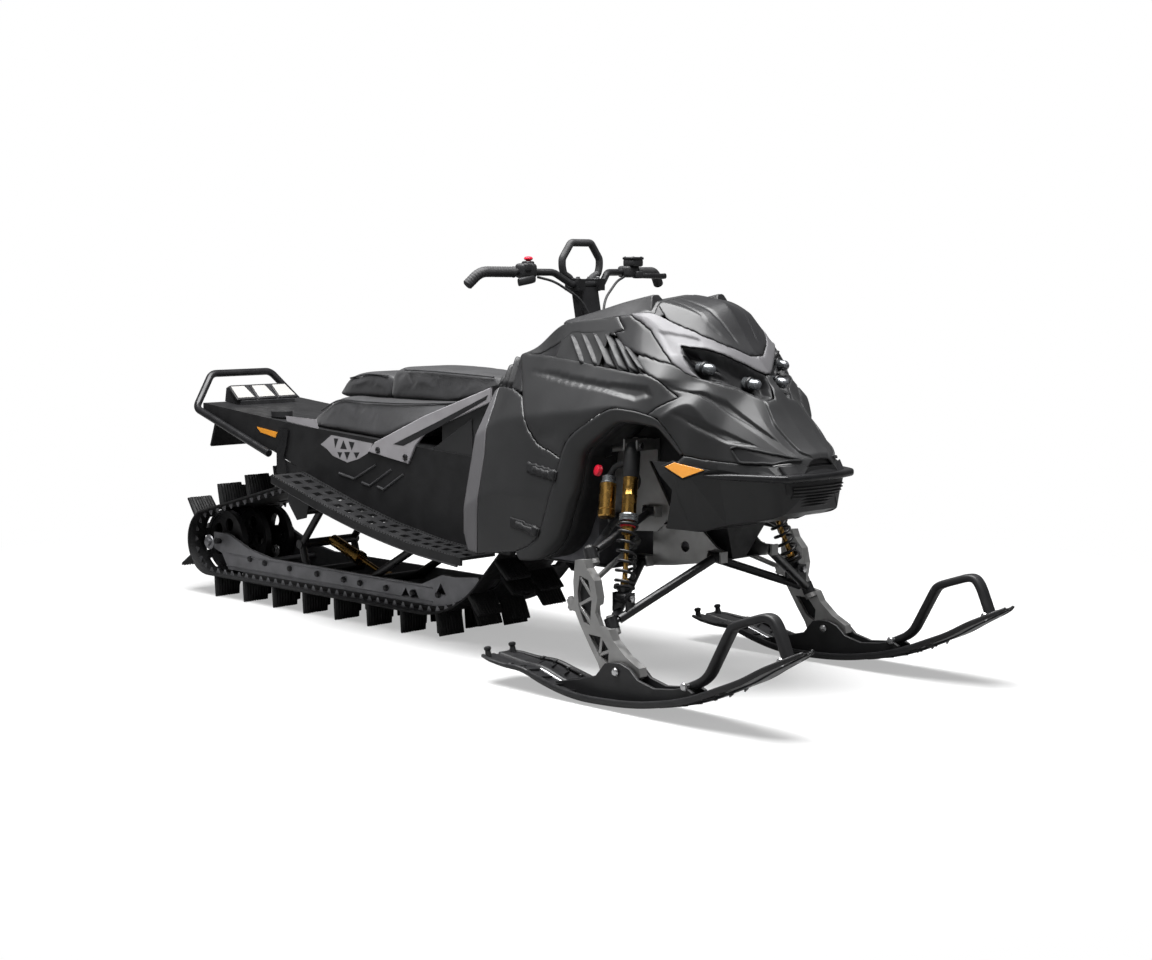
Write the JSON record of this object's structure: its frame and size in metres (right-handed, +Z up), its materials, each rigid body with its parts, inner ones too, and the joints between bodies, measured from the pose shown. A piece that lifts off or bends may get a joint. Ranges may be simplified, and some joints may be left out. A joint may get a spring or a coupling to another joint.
{
  "type": "snowmobile",
  "caption": "Deep-snow snowmobile with a paddle track, skid frame, low seat, angular hood, raised bars and two steerable skis with pull loops.",
  "frame": {"origin": "on the snow under the middle of the machine", "axes": "+X forwards along the machine, +Y to the rider's left, +Z up"},
  "size_m": [3.2472, 1.115, 1.3083],
  "materials": {
    "track_rubber": "moulded rubber, matt",
    "rail_alu": "satin extruded aluminium",
    "slide_plastic": "matt black slide strip",
    "wheel_plastic": "matt black",
    "black_steel": "satin black powder coat",
    "shock_gold": "gold anodised",
    "tunnel_black": "satin black sheet",
    "strut_grey": "satin grey",
    "seat_vinyl": "black grained vinyl",
    "body_black": "satin black panel",
    "body_grey": "satin grey panel",
    "visor_black": "gloss black",
    "trim_black": "matt black moulded plastic",
    "cast_silver": "cast and blasted aluminium",
    "engine_metal": "dark cast block",
    "ski_black": "satin black moulded ski",
    "grip_rubber": "matt rubber",
    "lamp_glass": "clear lens",
    "cable_black": "black cable sheath"
  },
  "bodies": {
    "chassis": {"belly_pan": "trim_black", "cargo_anchors": "trim_black", "console": "body_black", "drive_sprockets": "wheel_plastic", "engine": "engine_metal", "front_bumper": "trim_black", "front_fascia": "body_black", "front_frame": "cast_silver", "front_shock_left": "shock_gold", "front_shock_right": "shock_gold", "front_springs": "black_steel", "fuel_tank": "body_black", "headlamps": "lamp_glass", "hood": "body_black", "lamp_surround": "body_grey", "lower_arm_left": "black_steel", "lower_arm_right": "black_steel", "rear_bumper": "black_steel", "rear_wheels": "wheel_plastic", "running_board_left": "tunnel_black", "running_board_right": "tunnel_black", "seat_base": "seat_vinyl", "seat_cushion": "seat_vinyl", "seat_hump": "seat_vinyl", "side_panel_left": "body_black", "side_panel_right": "body_black", "side_strut_left": "strut_grey", "side_strut_right": "strut_grey", "skid_arms": "black_steel", "skid_rails": "rail_alu", "skid_shocks": "shock_gold", "skid_slides": "slide_plastic", "snow_flap": "track_rubber", "tail_lamp": "trim_black", "track": "track_rubber", "tunnel": "tunnel_black", "upper_arm_left": "black_steel", "upper_arm_right": "black_steel", "upper_wheels": "wheel_plastic", "visor": "visor_black"},
    "bars": {"brake_lever": "trim_black", "control_cables": "cable_black", "grips": "grip_rubber", "handlebar": "black_steel", "riser": "black_steel", "strap_loop": "grip_rubber", "throttle_block": "trim_black"},
    "spindle_right": {"spindle_right": "cast_silver"},
    "ski_right": {"ski_loop_right": "trim_black", "ski_right": "ski_black"},
    "tie_rod_right": {"tie_rod_right": "cast_silver"},
    "spindle_left": {"spindle_left": "cast_silver"},
    "ski_left": {"ski_left": "ski_black", "ski_loop_left": "trim_black"},
    "tie_rod_left": {"tie_rod_left": "cast_silver"}
  },
  "joints": [
    {"name": "bars_turn", "type": "hinge", "parent": "chassis", "child": "bars", "pos_m": [0.377, 0, 1.062], "axis": [-0.1908, 0, 0.9816], "range_deg": [-35, 35]},
    {"name": "spindle_right_turn", "type": "hinge", "parent": "chassis", "child": "spindle_right", "pos_m": [0.905, -0.446, 0.217], "axis": [-0.4503, 0.0569, 0.8911], "range_deg": [-28, 28]},
    {"name": "ski_right_pitch", "type": "hinge", "parent": "spindle_right", "child": "ski_right", "pos_m": [0.975, -0.4715, 0.098], "axis": [0, 1, 0], "range_deg": [-18, 14], "stiffness_Nm_per_rad": 60},
    {"name": "tie_rod_right_turn", "type": "hinge", "parent": "spindle_right", "child": "tie_rod_right", "pos_m": [0.769, -0.47, 0.268], "axis": [-0.4503, 0.0569, 0.8911], "range_deg": [-28, 28]},
    {"name": "spindle_left_turn", "type": "hinge", "parent": "chassis", "child": "spindle_left", "pos_m": [0.905, 0.446, 0.217], "axis": [-0.4503, -0.0569, 0.8911], "range_deg": [-28, 28]},
    {"name": "ski_left_pitch", "type": "hinge", "parent": "spindle_left", "child": "ski_left", "pos_m": [0.975, 0.4715, 0.098], "axis": [0, 1, 0], "range_deg": [-18, 14], "stiffness_Nm_per_rad": 60},
    {"name": "tie_rod_left_turn", "type": "hinge", "parent": "spindle_left", "child": "tie_rod_left", "pos_m": [0.769, 0.47, 0.268], "axis": [-0.4503, -0.0569, 0.8911], "range_deg": [-28, 28]}
  ],
  "couplings": [
    {"joint": "spindle_right_turn", "follows": "bars_turn", "ratio": 0.8},
    {"joint": "tie_rod_right_turn", "follows": "bars_turn", "ratio": -0.8},
    {"joint": "spindle_left_turn", "follows": "bars_turn", "ratio": 0.8},
    {"joint": "tie_rod_left_turn", "follows": "bars_turn", "ratio": -0.8}
  ]
}
